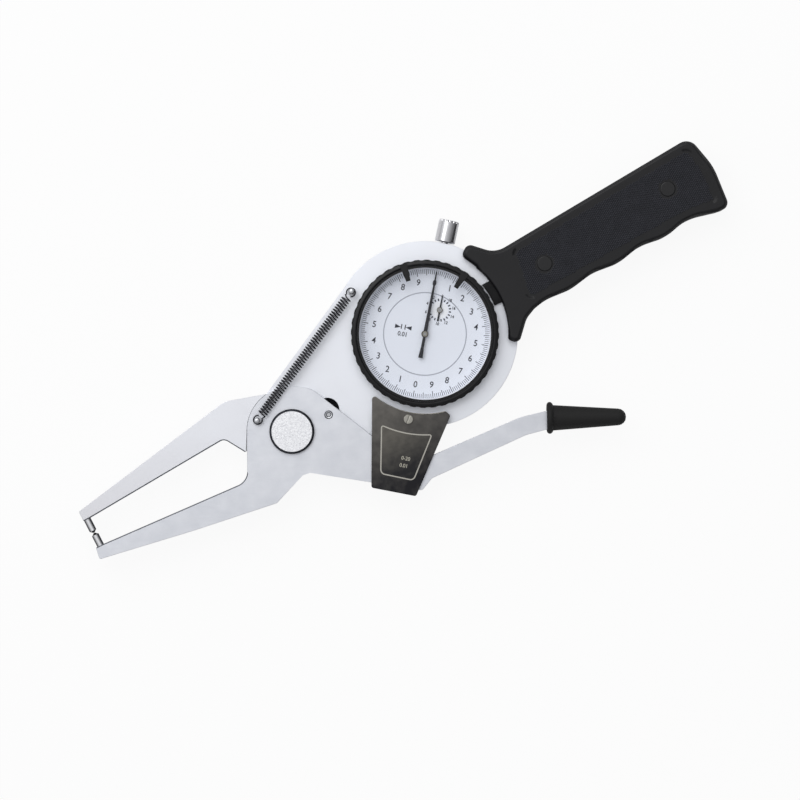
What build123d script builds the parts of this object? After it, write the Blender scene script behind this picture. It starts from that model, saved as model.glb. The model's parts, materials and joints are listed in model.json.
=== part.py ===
from build123d import *
import math
import os

# External dial caliper gauge, millimetres
# The origin is the dial axis at the rear face, +Z runs to the dial, +X runs along the handle
# The pivot and the contact points of the jaws lie on one line parallel to X

# Main places
pivot_x = -63.8
pivot_y = -10.3
jaw_reach = 87.3
closing_angle = 152.9
closing_gap = 0.4

# Clearances
seat_gap = 0.01
running_gap = 0.04
loose_gap = 0.3

# Thicknesses, from the rear face up
cover_thick = 1.5
sector_lift = 0.9
sector_thick = 1.5
sector_headroom = 1.0
plate_thick = 1.2
frame_thick = 8.8
web_roof = 5.3
moving_thick = 3.0
jaw_thick = 6.0
cap_thick = 2.0

# Bezel and glass
bezel_radius = 29.0
bezel_wall = 2.35
collar_step = 1.1
window_ledge = 0.85
skirt_step = 0.45
skirt_wall = 1.3
grip_height = 6.2
scallop_count = 44
scallop_cutter = 1.8
scallop_depth = 0.5
glass_thick = 1.0
spacer_height = 4.0

# Frame
cavity_ledge = 5.3
ring_wall = 4.7
lobe_radius = 16.0
lobe_wall = 1.86
spring_side_dip = 0.22
tang_length = 118.0
tang_top = 12.5
tang_bottom = -2.5
tang_thick = 5.0
tang_low = 3.5

# Jaws
fixed_tip_top = -0.2
fixed_tip_low = -4.4
moving_tip_top = -15.85
moving_tip_low = -20.55
tip_width = 2.8
moving_disc = 17.5
pocket_gap = 0.3
throat_round = 3.0
lever_width = 7.2
sleeve_start = (28.5, -51.55)
sleeve_turn = -26.3

# Contact pins
pin_radius = 1.45
pin_nose = 0.8
pin_seat = 3.0

# Pivot
shaft_radius = 4.0
bush_wall = 1.5
cap_radius = 8.8
cap_edge = 0.6
washer_thick = 0.25
clip_thick = 0.6

# Gear train
sector_whole_teeth = 437
drive_teeth = 16
wheel_teeth = 100
centre_teeth = 10
fine_module = 0.2
arbor_direction = 31.0
pressure_angle = 20.0
backlash = 0.05
drive_pin_radius = 1.6
drive_pin_at = (15.8, -2.6)
sector_hub = 8.0
boss_wall = 1.6
pocket_margin = 0.8
stop_hole_radius = 4.7
stop_hole_at = (16.18, 4.45)

# Movement
plate_margin = 1.2
plate_screw_inset = 1.5
cover_screw_inset = 1.9
pillar_inset = 3.6
pillar_radius = 1.5
pillar_height = 3.3
jewel_radius = 1.6
arbor_radius = 0.6
drive_arbor_radius = 0.8
wheel_thick = 0.8
dial_disc_radius = 16.1
dial_thick = 0.5
pointer_angle = 52.2

# Limit hands
limit_left_angle = 80.4
limit_right_angle = 29.2
limit_reach = 6.4
clip_wall = 0.5

# Clamp knob
knob_angle = 50.7
knob_radius = 4.0
knob_length = 8.8
knob_standoff = 0.4
flute_start = 8.0
flute_radius = 0.5
clamp_screw = 1.4

# Return spring
spring_post_reach = 14.16
spring_post_angle = 135.6
spring_clearance = 2.12
spring_up_angle = 122.92
spring_outer = 2.0
spring_wire = 0.28
spring_axis_lift = 2.4
post_radius = 0.9
post_head = 1.15

# Handle
handle_thick = 17.0
handle_split = 8.5
guard_overlap = 3.8
handle_end_wall = 8.4
handle_edge = 1.6
guard_edge = 1.0
panel_depth = 0.7
panel_slope = 1.3
groove_pitch = 21.2
plug_radius = 3.0
first_screw_inset = 17.7
last_screw_inset = 7.7

# Label bracket
sheet_thick = 1.2
label_clearance = 2.2
label_screw_inset = 2.85
label_ear_round = 1.1
label_corners = [(-28.75, -10.72), (-46.1, -44.05), (-32.1, -55.0), (-5.6, -33.0), (-7.6, -28.5)]

# Radii that follow from the sizes above
collar_radius = bezel_radius - collar_step
glass_seat = bezel_radius - bezel_wall
window_radius = glass_seat - window_ledge
skirt_radius = glass_seat - skirt_step
front_bore = skirt_radius + loose_gap
rear_cavity = front_bore + cavity_ledge
ring_radius = rear_cavity + ring_wall
guard_radius = ring_radius - guard_overlap
rear_plate_radius = rear_cavity - plate_margin
front_plate_radius = skirt_radius - skirt_wall - loose_gap
label_concave = bezel_radius + label_clearance

# Levels that follow from the sizes above
pivot = (pivot_x, pivot_y)
frame_back = cover_thick
frame_front = frame_back + frame_thick
plate_low = frame_front + loose_gap
plate_top = plate_low + moving_thick
jaw_low = plate_top - jaw_thick
jaw_mid = plate_top - jaw_thick / 2
sector_low = frame_back + sector_lift
sector_top = sector_low + sector_thick
rear_plate_low = sector_top + sector_headroom
rear_plate_top = rear_plate_low + plate_thick
front_plate_low = rear_plate_top + pillar_height
front_plate_top = front_plate_low + plate_thick
scale_low = front_plate_top + 1.5
scale_top = scale_low + dial_thick
glass_low = scale_top + spacer_height
glass_top = glass_low + glass_thick
bezel_low = frame_front + loose_gap
grip_top = bezel_low + grip_height
rim_top = glass_top + 1.0
cap_low = plate_top + loose_gap
spring_level = plate_top + spring_axis_lift
contact_x = pivot_x - jaw_reach


def polar(radius, angle, centre=(0.0, 0.0)):
    """Point at a radius and an angle about a centre."""
    turn = math.radians(angle)
    return (centre[0] + radius * math.cos(turn), centre[1] + radius * math.sin(turn))


def bar(radius, low, top, at=(0.0, 0.0)):
    """Upright round bar between two levels."""
    return Pos(at[0], at[1], (low + top) / 2) * Cylinder(radius, top - low)


def tube(outer, inner, low, top, at=(0.0, 0.0)):
    """Upright tube between two levels."""
    return bar(outer, low, top, at) - bar(inner, low - 1, top + 1, at)


def outline(corners):
    """Flat face inside corners given as (x, y, corner radius)."""
    points = [(x, y) for x, y, _ in corners]
    rounds = [r for _, _, r in corners]
    return make_face(FilletPolyline(*points, radius=rounds, close=True))


def slab(face, low, top):
    """Plate of a flat face between two levels."""
    return Pos(0, 0, low) * extrude(face, top - low, dir=(0, 0, 1))


def wedge(radius, start, end, centre=(0.0, 0.0)):
    """Flat pie slice between two angles."""
    first = polar(radius, start, centre)
    middle = polar(radius, (start + end) / 2, centre)
    last = polar(radius, end, centre)
    return make_face([Line(centre, first), ThreePointArc(first, middle, last), Line(last, centre)])


def spun(profile):
    """Solid of revolution about Z from (radius, height) points."""
    return revolve(Plane.XZ * make_face(Polyline(*profile, close=True)), Axis.Z)


def aimed(shape, at, level, direction):
    """Turn a shape's own +Z to a flat direction and set it at a place."""
    heading = polar(1, direction)
    spot = Plane(origin=(at[0], at[1], level), x_dir=(0, 0, 1), z_dir=(heading[0], heading[1], 0))
    return spot * shape


# Places that follow from the radii
spring_low = polar(spring_post_reach, spring_post_angle, pivot)
spring_up = polar(bezel_radius + spring_outer + spring_clearance, spring_up_angle)
spring_side_start = polar(lobe_radius + lobe_wall, 97.7, pivot)
spring_side_end = polar(ring_radius - spring_side_dip, 117.94)
label_screw_at = polar(label_concave + label_screw_inset, 231.9)
handle_screw_spots = [(ring_radius + first_screw_inset, 3.1), (tang_length - last_screw_inset, 7.2)]
handle_end = tang_length + handle_end_wall

# Places that follow from the gear sizes
arbor_distance = fine_module * (wheel_teeth + centre_teeth) / 2
drive_at = polar(arbor_distance, arbor_direction)
takeup_at = polar(arbor_distance, arbor_direction + 180)
drive_distance = math.dist(pivot, drive_at)
drive_angle = math.degrees(math.atan2(drive_at[1] - pivot_y, drive_at[0] - pivot_x))
sector_module = 2 * drive_distance / (sector_whole_teeth - drive_teeth)
sector_pitch_radius = sector_module * sector_whole_teeth / 2
opening_angle = 360 * drive_teeth / sector_whole_teeth


def involute(radius, base_radius):
    """Involute function at a radius, zero inside the base circle."""
    if radius <= base_radius:
        return 0.0
    angle = math.acos(base_radius / radius)
    return math.tan(angle) - angle


def gear_face(teeth, module, first_angle, centre, steps, addendum=0.8):
    """Face of a spur gear with one tooth centred on first_angle."""
    pitch_radius = teeth * module / 2
    base_radius = pitch_radius * math.cos(math.radians(pressure_angle))
    root = pitch_radius - 1.15 * module
    tip = pitch_radius + addendum * module
    half = math.pi / 2 / teeth - backlash * module / pitch_radius
    flank = []
    for step in range(steps + 1):
        radius = root + (tip - root) * step / steps
        lean = half + involute(pitch_radius, base_radius) - involute(radius, base_radius)
        flank.append((radius, math.degrees(lean)))
    points = []
    for tooth in range(teeth):
        middle = first_angle + 360 * tooth / teeth
        points += [polar(radius, middle - lean, centre) for radius, lean in flank]
        points += [polar(radius, middle + lean, centre) for radius, lean in reversed(flank)]
    return make_face(Polyline(*points, close=True))


def sector_face():
    """Toothed sector arm: hub, two limbs and a rim with teeth on its inner side."""
    pitch = 360 / sector_whole_teeth
    slack = math.degrees(3.8 / drive_distance)
    window_start = drive_angle - opening_angle - slack
    window_end = drive_angle + slack
    limb = 1.9
    addendum = 0.8 * sector_module
    dedendum = 1.2 * sector_module
    rim = sector_pitch_radius + dedendum + 2.0
    lean = math.tan(math.radians(pressure_angle))
    half = math.pi * sector_module / 4 - backlash * sector_module
    first = drive_angle - pitch * (math.floor((drive_angle - window_start) / pitch) - 0.5)
    count = math.floor((window_end - first) / pitch + 0.5)
    tip_half = math.degrees((half - addendum * lean) / sector_pitch_radius)
    root_half = math.degrees((half + dedendum * lean) / sector_pitch_radius)
    tip_radius = sector_pitch_radius - addendum
    root_radius = sector_pitch_radius + dedendum
    points = [polar(24.0, window_start + 3, pivot), polar(root_radius, window_start, pivot)]
    for tooth in range(count):
        middle = first + pitch * tooth
        points.append(polar(root_radius, middle - root_half, pivot))
        points.append(polar(tip_radius, middle - tip_half, pivot))
        points.append(polar(tip_radius, middle + tip_half, pivot))
        points.append(polar(root_radius, middle + root_half, pivot))
    points += [polar(root_radius, window_end, pivot), polar(24.0, window_end - 3, pivot)]
    fan = wedge(rim, window_start - limb, window_end + limb, pivot)
    return fan - make_face(Polyline(*points, close=True))


def handle_face():
    """Side view of the grip: guard horns round the ring, straight back, four finger grooves."""
    corners = [(*polar(guard_radius + 0.4, 26.0), 0.0), (*polar(guard_radius + 1.0, 37.9), 2.3)]
    corners += [(*polar(ring_radius + 2.4, 37.9), 2.6), (*polar(ring_radius + 5.54, 21.93), 9.3)]
    corners += [(handle_end + 0.6, 21.3, 5.0), (handle_end + 3.9, 7.0, 25.0), (handle_end + 2.4, -10.3, 3.0)]
    corners.append((handle_end - 2.9, -9.5, 8.0))
    first_groove = handle_end - 14.4
    last_groove = math.floor((first_groove - ring_radius - 10.0) / groove_pitch)
    for groove in range(last_groove + 1):
        x = first_groove - groove_pitch * groove
        corners.append((x, -6.6 - 0.98 * groove, 22.0))
        if groove < last_groove:
            corners.append((x - groove_pitch / 2, -9.2 - 0.63 * groove, 16.0))
    corners += [(*polar(ring_radius + 7.4, -14.2), 6.0), (*polar(ring_radius + 3.7, -18.5), 8.0)]
    corners += [(*polar(ring_radius + 0.6, -32.6), 2.2), (*polar(guard_radius - 0.07, -31.2), 2.2)]
    corners.append((*polar(guard_radius - 0.6, -24.0), 0.0))
    return outline(corners)


def moving_face():
    """Plan of the moving jaw, its disc, its arm and its lever."""
    edge_top = polar(moving_disc, closing_angle, pivot)
    along = polar(19.5, closing_angle + 90)
    edge_low = (edge_top[0] + along[0], edge_top[1] + along[1])
    across = polar(lever_width / 2, sleeve_turn + 90)
    mouth_top = (sleeve_start[0] + across[0], sleeve_start[1] + across[1])
    mouth_low = (sleeve_start[0] - across[0], sleeve_start[1] - across[1])
    end_top = polar(2.5, sleeve_turn, mouth_top)
    end_low = polar(2.5, sleeve_turn, mouth_low)
    tip = contact_x - tip_width / 2
    corners = [(*edge_top, 0.0), (*edge_low, 6.0), (contact_x + tip_width / 2 - 0.4, moving_tip_top, 0.2)]
    corners += [(tip - 0.4, moving_tip_top, 0.2), (tip - 1.2, moving_tip_low, 0.8)]
    corners += [(-115.0, -27.5, 150.0), (-81.9, -32.6, 1.0), (-66.2, -26.8, 3.0)]
    corners += [(-28.9, -54.1, 1.5), (-23.3, -51.6, 2.5), (17.2, -53.3, 12.0)]
    corners += [(*end_low, 0.4), (*end_top, 0.4), (18.4, -46.1, 12.0)]
    corners += [(-28.8, -43.0, 2.5), (-41.6, -15.4, 25.0), (-49.8, 2.0, 10.0)]
    corners += [(*polar(moving_disc, 62, pivot), 0.0), (*pivot, 0.0)]
    disc = Pos(*pivot) * Circle(moving_disc)
    root = polar(15.0, sleeve_turn, sleeve_start)
    tongue = Pos(*root) * Rot(0, 0, sleeve_turn) * Rectangle(8.0, 4.6)
    bridge = Pos(*polar(6.0, sleeve_turn, sleeve_start)) * Rot(0, 0, sleeve_turn) * Rectangle(12.0, 4.6)
    return outline(corners) + disc + tongue + bridge


def fixed_jaw_face():
    """Plan of the fixed jaw, out to the closing edge beside the moving jaw."""
    closing = polar(moving_disc + closing_gap, closing_angle, pivot)
    along = polar(8.4, closing_angle + 90)
    closing_low = (closing[0] + along[0], closing[1] + along[1])
    tip = contact_x - tip_width / 2
    corners = [(tip, fixed_tip_low, 0.2), (tip, fixed_tip_top, 1.0), (-82.0, 12.2, 10.0)]
    corners += [(*spring_side_start, 0.0), (*pivot, 0.0), (*closing, 0.0), (*closing_low, 0.5)]
    corners += [(-88.9, -0.8, throat_round), (contact_x + tip_width / 2, fixed_tip_low, 0.2)]
    return outline(corners)


def label_face():
    """Front face of the label bracket with its hollow edge beside the bezel."""
    rounds = [0.0, 1.0, 1.0, 1.2, 0.0]
    corners = [(x, y, r) for (x, y), r in zip(label_corners, rounds)]
    plate = outline(corners) - Circle(label_concave)
    ears = [spot for spot in plate.vertices() if abs(math.hypot(spot.X, spot.Y) - label_concave) < 0.01]
    return fillet(ears, label_ear_round)


def label_edge(inset, length):
    """Strip beside the low edge of the label bracket, from an inset inwards."""
    first, last = label_corners[1], label_corners[2]
    heading = math.degrees(math.atan2(last[1] - first[1], last[0] - first[0]))
    near_first = polar(1.2, heading, first)
    near_last = polar(-1.2, heading, last)
    inwards = heading + 90
    corners = [polar(inset, inwards, near_first), polar(inset, inwards, near_last)]
    corners += [polar(inset + length, inwards, near_last), polar(inset + length, inwards, near_first)]
    return make_face(Polyline(*corners, close=True))


def bracket_screw_spots():
    """Two screw places on the rear flange of the label bracket."""
    first, last = label_corners[1], label_corners[2]
    heading = math.degrees(math.atan2(last[1] - first[1], last[0] - first[0]))
    return [polar(8.0, heading + 90, polar(step, heading, first)) for step in (4.4, 11.6)]


def cover_screw_spots():
    """Screw places round the rear cover."""
    ring = [polar(rear_cavity + cover_screw_inset, angle) for angle in (75, 135, 262, 318)]
    return ring + [polar(lobe_radius - 3.1, angle, pivot) for angle in (120, 240)]


def plate_screw_spots():
    """Screw places of the rear movement plate."""
    return [polar(rear_plate_radius - plate_screw_inset, angle) for angle in (100, 195, 300)]


def pillar_spots():
    """Four pillars, clear of both large wheels."""
    return [polar(front_plate_radius - pillar_inset, arbor_direction + turn) for turn in (60, 120, 240, 300)]


def arbor_spots():
    """Centre, drive and take-up arbors with their radii."""
    return [((0.0, 0.0), arbor_radius), (drive_at, drive_arbor_radius), (takeup_at, arbor_radius)]


def clamp_hole(radius):
    """Round bore on the clamp screw's axis, through the wall of the ring."""
    level = front_plate_low - 1.7
    return aimed(Pos(0, 0, 10) * Cylinder(radius, 20), polar(front_bore - 5, knob_angle), level, knob_angle)


def frame():
    """Cast frame: dial ring, web, pivot lobe, fixed jaw and handle tang."""
    web = outline([(*spring_side_start, 0.0), (*spring_side_end, 0.0), (0.0, 0.0, 0.0), (-8.0, -33.0, 0.0),
                   (-30.9, -52.1, 3.0), (-44.0, -41.8, 2.0), (-61.9, -26.4, 2.0), (*pivot, 0.0)])
    plan = Circle(ring_radius) + web + Pos(*pivot) * Circle(lobe_radius)
    body = slab(plan, frame_back, frame_front)
    body += slab(fixed_jaw_face(), jaw_low, plate_top)
    body -= bar(moving_disc + pocket_gap, frame_front, plate_top + 1, pivot)
    body -= slab(wedge(60, -40, 83, pivot), frame_front, plate_top + 1)
    tang_root = ring_radius - 6.5
    tang = outline([(tang_root, tang_bottom, 0.0), (tang_length, tang_bottom, 3.0),
                    (tang_length, tang_top, 3.0), (tang_root, tang_top, 0.0)])
    body += slab(tang, tang_low, tang_low + tang_thick)
    pad = outline([(-30.6, -15.2, 0.0), (-32.2, -18.3, 1.0), (-27.0, -24.5, 1.0), (-21.6, -31.2, 1.0),
                   (-11.5, -30.2, 1.0), (-6.6, -31.0, 0.0), (0.0, 0.0, 0.0)])
    body += slab(pad - Circle(label_concave + loose_gap), frame_front, plate_top + 0.4)
    body -= bar(front_bore, frame_back, frame_front + 1)
    body -= bar(rear_cavity, frame_back - 1, rear_plate_top)
    body -= tube(front_bore + 0.55, front_bore - 1, front_plate_low - 0.2, front_plate_low + 0.4)
    pocket = wedge(60, -9, 33, pivot) + Pos(*pivot) * Circle(sector_hub + 2 * pocket_margin)
    pocket += Pos(*polar(*drive_pin_at, pivot)) * Circle(drive_pin_radius + boss_wall + pocket_margin)
    body -= slab(pocket, frame_back - 1, web_roof)
    body -= bar(stop_hole_radius, frame_back, frame_front + 1, polar(*stop_hole_at, pivot))
    body -= bar(shaft_radius + seat_gap, frame_back, frame_front + 1, pivot)
    body -= bar(post_radius + seat_gap, frame_front - 3, frame_front + 1, spring_up)
    body -= bar(1.0 + seat_gap, frame_front - 2, plate_top + 2, label_screw_at)
    body -= clamp_hole(clamp_screw + running_gap)
    pin_hole = Rot(90, 0, 0) * Cylinder(pin_radius + seat_gap, 2 * pin_seat)
    body -= Pos(contact_x, fixed_tip_low, jaw_mid) * pin_hole
    for spot in cover_screw_spots():
        body -= bar(0.8 + seat_gap, frame_back - 1, frame_back + 3, spot)
    for spot in bracket_screw_spots():
        body -= bar(1.0 + seat_gap, frame_back - 1, frame_back + 3.5, spot)
    for spot in plate_screw_spots():
        body -= bar(0.8 + seat_gap, rear_plate_low, rear_plate_top + 2.5, spot)
    for spot in handle_screw_spots:
        body -= bar(2.0 + seat_gap, tang_low - 1, tang_low + tang_thick + 1, spot)
    return body


def contact_pin():
    """Contact pin with its tip at the origin, pointing up."""
    length = 5.4 + pin_seat + 0.8
    barrel = spun([(0, -length), (pin_radius, -length), (pin_radius, -0.95), (pin_nose, -0.45), (0, -0.45)])
    ball = Pos(0, 0, -0.95) * Sphere(0.93)
    return barrel + ball


def fixed_anvil():
    """Contact pin of the fixed jaw."""
    pin = Pos(contact_x, pivot_y + 0.03, jaw_mid) * Rot(90, 0, 0) * contact_pin()
    limit = Pos(contact_x, fixed_tip_low + pin_seat + 10, jaw_mid) * Box(20, 20, 20)
    return pin - limit


def moving_anvil():
    """Contact pin of the moving jaw."""
    pin = Pos(contact_x, pivot_y - 0.03, jaw_mid) * Rot(-90, 0, 0) * contact_pin()
    limit = Pos(contact_x, moving_tip_top - pin_seat - 10, jaw_mid) * Box(20, 20, 20)
    return pin - limit


def moving_jaw():
    """Moving jaw with its arm and squeeze lever, thick outside the pivot lobe only."""
    plan = moving_face()
    body = slab(plan, plate_low, plate_top)
    keep = wedge(140, closing_angle, 245, pivot) - Pos(*pivot) * Circle(lobe_radius + 0.5)
    body += slab(plan & keep, jaw_low, plate_low)
    body -= bar(shaft_radius + bush_wall + seat_gap, jaw_low - 1, plate_top + 1, pivot)
    body -= bar(drive_pin_radius + seat_gap, plate_low - 1, plate_top + 1, polar(*drive_pin_at, pivot))
    body -= bar(post_radius + seat_gap, plate_low + 0.5, plate_top + 1, spring_low)
    pin_hole = Rot(90, 0, 0) * Cylinder(pin_radius + seat_gap, 2 * pin_seat)
    body -= Pos(contact_x, moving_tip_top, jaw_mid) * pin_hole
    return body


def lever_sleeve():
    """Moulded grip over the end of the lever, with a bead at its mouth."""
    skin = spun([(0, 0), (5.3, 0), (5.9, 0.3), (6.25, 0.9), (6.2, 1.6), (5.7, 2.2), (5.0, 2.5),
                 (3.3, 28.0), (3.0, 29.2), (2.3, 30.2), (1.3, 30.85), (0, 31.1)])
    grip = aimed(skin, polar(-1.1, sleeve_turn, sleeve_start), (plate_low + plate_top) / 2, sleeve_turn)
    return grip - slab(moving_face(), plate_low, plate_top)


def sector_arm():
    """Toothed sector under the frame, pinned to the moving jaw."""
    plan = sector_face() + Pos(*pivot) * Circle(sector_hub)
    plan += Pos(*polar(*drive_pin_at, pivot)) * Circle(drive_pin_radius + boss_wall)
    body = slab(plan, sector_low, sector_top)
    body -= bar(shaft_radius + running_gap, sector_low - 1, sector_top + 1, pivot)
    pin_spot = polar(*drive_pin_at, pivot)
    return body - bar(drive_pin_radius + seat_gap, sector_low - 1, sector_top + 1, pin_spot)


def drive_pin():
    """Pin from the moving jaw down through the stop hole to the sector arm."""
    return bar(drive_pin_radius, sector_low, plate_top + 0.15, polar(*drive_pin_at, pivot))


def spring_post(at, low, foot):
    """Grooved post that carries one hook of the spring."""
    level = spring_level
    shape = spun([(0, foot), (post_radius, foot), (post_radius, level + 0.55), (post_head, level + 0.75),
                  (post_head, level + 1.2), (post_head - 0.15, level + 1.45),
                  (post_head - 0.45, level + 1.65), (0, level + 1.75)])
    collar = tube(1.6, post_radius - 0.2, low, low + 0.6)
    return Pos(*at) * (shape + collar)


def pivot_shaft():
    """Pivot shaft pressed into the lobe, with a groove for its clip."""
    body = bar(shaft_radius, frame_back + 0.1, cap_low)
    body -= tube(shaft_radius + 1, shaft_radius - 0.6, sector_low - 0.1 - clip_thick, sector_low - 0.1)
    return Pos(*pivot) * body


def pivot_clip():
    """Retaining clip under the sector arm."""
    ring = tube(5.6, shaft_radius - 0.58, sector_low - 0.1 - clip_thick, sector_low - 0.1)
    ring -= Pos(5, 0, sector_low) * Box(10, 4.4, 3)
    return Pos(*pivot) * ring


def pivot_cap():
    """Round cap nut over the pivot."""
    top = cap_low + cap_thick
    body = spun([(0, cap_low), (cap_radius - 0.3, cap_low), (cap_radius, cap_low + 0.3),
                 (cap_radius, top - cap_edge), (cap_radius - cap_edge, top), (0, top)])
    return Pos(*pivot) * body


def pivot_washer():
    """Thrust washer between the cap and the moving jaw."""
    return tube(cap_radius - 0.6, shaft_radius + seat_gap, cap_low - washer_thick, cap_low, pivot)


def pivot_bush():
    """Bush in the moving jaw that runs on the shaft."""
    return tube(shaft_radius + bush_wall, shaft_radius + running_gap, plate_low, plate_top, pivot)


def rear_cover():
    """Flat cover over the movement and the sector pocket."""
    plan = Circle(ring_radius - 0.9) + wedge(60, -20, 37, pivot) + Pos(*pivot) * Circle(lobe_radius - 1.2)
    plan -= wedge(60, -38, 47) - Circle(guard_radius - loose_gap)
    body = slab(plan, 0, cover_thick)
    for spot in cover_screw_spots():
        body -= bar(0.9, -1, cover_thick + 1, spot)
        body -= bar(1.5, -1, 0.9, spot)
    return body


def flat_screw(at, head, shank, low, step, top):
    """Flat-headed screw: head between low and step, shank from step to top."""
    return bar(head, low, step, at) + bar(shank, step, top, at)


def rear_cover_screws():
    """Six small screws of the rear cover."""
    return [flat_screw(spot, 1.45, 0.8, 0.15, 0.9, frame_back + 2.8) for spot in cover_screw_spots()]


def handle_shell(low, top, outer):
    """One half of the grip with its outer edge broken, before its pockets are cut."""
    body = slab(handle_face(), low, top)
    face = body.faces().sort_by(lambda side: abs(side.center().Z - outer))[0]
    body = chamfer(face.outer_wire().edges(), handle_edge)
    return body - bar(guard_radius, low - 1, top + 1)


def handle_front_shell():
    """Front half of the grip with its sunk side panel and the tongue towards the bezel."""
    body = handle_shell(handle_split, handle_thick, handle_thick)
    panel = outline([(ring_radius + 4.6, -7.5, 3.0), (ring_radius + 8.0, 13.9, 3.0),
                     (handle_end - 1.2, 18.8, 3.8), (handle_end + 0.8, 7.0, 20.0),
                     (handle_end - 0.3, -6.5, 2.5), (handle_end - 14.4, -5.1, 22.0)])
    recess = slab(panel, handle_thick - panel_depth, handle_thick + 1)
    floor = recess.faces().sort_by(Axis.Z)[0]
    body -= chamfer(floor.edges(), panel_slope, panel_depth, reference=floor)
    body -= spun([(0, handle_thick - guard_edge), (guard_radius, handle_thick - guard_edge),
                  (guard_radius + 2 * guard_edge, handle_thick + guard_edge), (0, handle_thick + guard_edge)])
    body -= bar(ring_radius + seat_gap, 0, frame_front)
    tongue = Pos(guard_radius - 2.0, 2.2) * Rectangle(8.0, 9.6) - Circle(bezel_radius + loose_gap + 0.2)
    body += slab(tongue, frame_front + 0.02, frame_front + 1.6)
    for spot in handle_screw_spots:
        body -= bar(plug_radius + seat_gap, handle_split + 2.6, handle_thick + 1, spot)
        body -= bar(2.0 + seat_gap, handle_split - 1, handle_thick, spot)
    return body


def handle_rear_shell():
    """Rear half of the grip with the pocket for the tang."""
    body = handle_shell(0, handle_split, 0)
    body -= bar(ring_radius + seat_gap, frame_back, handle_split + 1)
    end = tang_length + seat_gap
    tang = outline([(20.0, tang_bottom - seat_gap, 0.0), (end, tang_bottom - seat_gap, 3.0),
                    (end, tang_top + seat_gap, 3.0), (20.0, tang_top + seat_gap, 0.0)])
    body -= slab(tang, tang_low, handle_split + 1)
    for spot in handle_screw_spots:
        body -= bar(2.0 + seat_gap, 1.5, handle_split + 1, spot)
    return body


def handle_screws():
    """Two screws that clamp the shells on the tang."""
    screws = []
    for spot in handle_screw_spots:
        head = bar(plug_radius - 0.2, handle_split + 2.6, handle_split + 5.0, spot)
        screws.append(head + bar(2.0, 1.6, handle_split + 2.6, spot))
    return screws


def handle_plugs():
    """Two round plugs over the grip screws."""
    top = handle_thick - panel_depth
    return [bar(plug_radius, handle_split + 5.0, top + 0.25, spot) for spot in handle_screw_spots]


def label_bracket():
    """Bent sheet bracket: front plate, low edge wall and rear flange."""
    top = plate_top + 0.4 + sheet_thick
    body = slab(label_face(), top - sheet_thick, top)
    body += slab(label_edge(0.0, sheet_thick), frame_back - sheet_thick, top)
    body += slab(label_edge(0.0, 11.0), frame_back - sheet_thick, frame_back)
    body -= bar(1.1, top - 3, top + 1, label_screw_at)
    for spot in bracket_screw_spots():
        body -= bar(1.1, -1, frame_back + 1, spot)
    return body


def label_screw():
    """Front screw of the label bracket."""
    low = plate_top + 0.4 + sheet_thick
    body = bar(1.8, low, low + 0.8, label_screw_at) + bar(1.0, frame_front - 1.8, low, label_screw_at)
    slot = Pos(*label_screw_at, low + 0.8) * Rot(0, 0, 40) * Box(5, 0.5, 0.7)
    return body - slot


def label_bracket_screws():
    """Two screws of the rear flange."""
    low = frame_back - sheet_thick
    screws = []
    for spot in bracket_screw_spots():
        screws.append(bar(1.8, 0.0, low, spot) + bar(1.0, low, frame_back + 3.2, spot))
    return screws


def movement_plate(radius, low, top):
    """Round movement plate with seats for the three jewels."""
    body = bar(radius, low, top)
    for spot, _ in arbor_spots():
        body -= bar(jewel_radius + seat_gap, low - 1, top + 1, spot)
    for spot in pillar_spots():
        body -= bar(0.8 + seat_gap, low - 1, top + 1, spot)
    return body


def movement_plate_rear():
    """Rear plate, seated on the shoulder behind the dial bore."""
    body = movement_plate(rear_plate_radius, rear_plate_low, rear_plate_top)
    for spot in plate_screw_spots():
        body -= bar(1.5 + seat_gap, rear_plate_low - 1, rear_plate_low + 0.7, spot)
        body -= bar(0.8 + seat_gap, rear_plate_low - 1, rear_plate_top + 1, spot)
    return body


def movement_plate_screws():
    """Three flush screws of the rear plate."""
    low = rear_plate_low
    top = rear_plate_top + 2.3
    return [flat_screw(spot, 1.5, 0.8, low + 0.05, low + 0.7, top) for spot in plate_screw_spots()]


def movement_pillars():
    """Four pillars between the plates."""
    pillars = []
    for spot in pillar_spots():
        pillars.append(tube(pillar_radius, 0.8 + seat_gap, rear_plate_top, front_plate_low, spot))
    return pillars


def movement_screws():
    """Four screws through the front plate, pillars and rear plate."""
    screws = []
    for spot in pillar_spots():
        head = bar(1.5, front_plate_top, front_plate_top + 0.7, spot)
        screws.append(head + bar(0.8, rear_plate_low, front_plate_top, spot))
    return screws


def bearing_jewels():
    """Six jewel rings, two for each arbor."""
    jewels = []
    for spot, radius in arbor_spots():
        jewels.append(tube(jewel_radius, radius + running_gap, rear_plate_low, rear_plate_top, spot))
        jewels.append(tube(jewel_radius, radius + running_gap, front_plate_low, front_plate_top, spot))
    return jewels


def dial_disc():
    """Fixed centre disc of the dial on two feet."""
    body = bar(dial_disc_radius, scale_low, scale_top)
    for turn in (90, 270):
        body += bar(1.0, front_plate_top, scale_low, polar(13.0, arbor_direction + turn))
    body -= bar(1.4, scale_low - 1, scale_top + 1)
    return body - bar(1.4, scale_low - 1, scale_top + 1, drive_at)


def hairspring():
    """Flat spiral on the take-up arbor, held at its outer end."""
    low = rear_plate_top + 0.5
    start = 1.6
    gap = 0.5
    ribbon = 0.15
    body = None
    for half in range(7):
        radius = start + gap * half
        shift = gap / 2 if half % 2 else -gap / 2
        side = 90 if half % 2 else -90
        turn = tube(radius + ribbon, radius, low, low + 0.7, (shift, 0))
        turn &= slab(Pos(shift, 0) * wedge(20, side - 90, side + 90), low, low + 0.7)
        body = turn if body is None else body + turn
    return Pos(*takeup_at) * body


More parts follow.
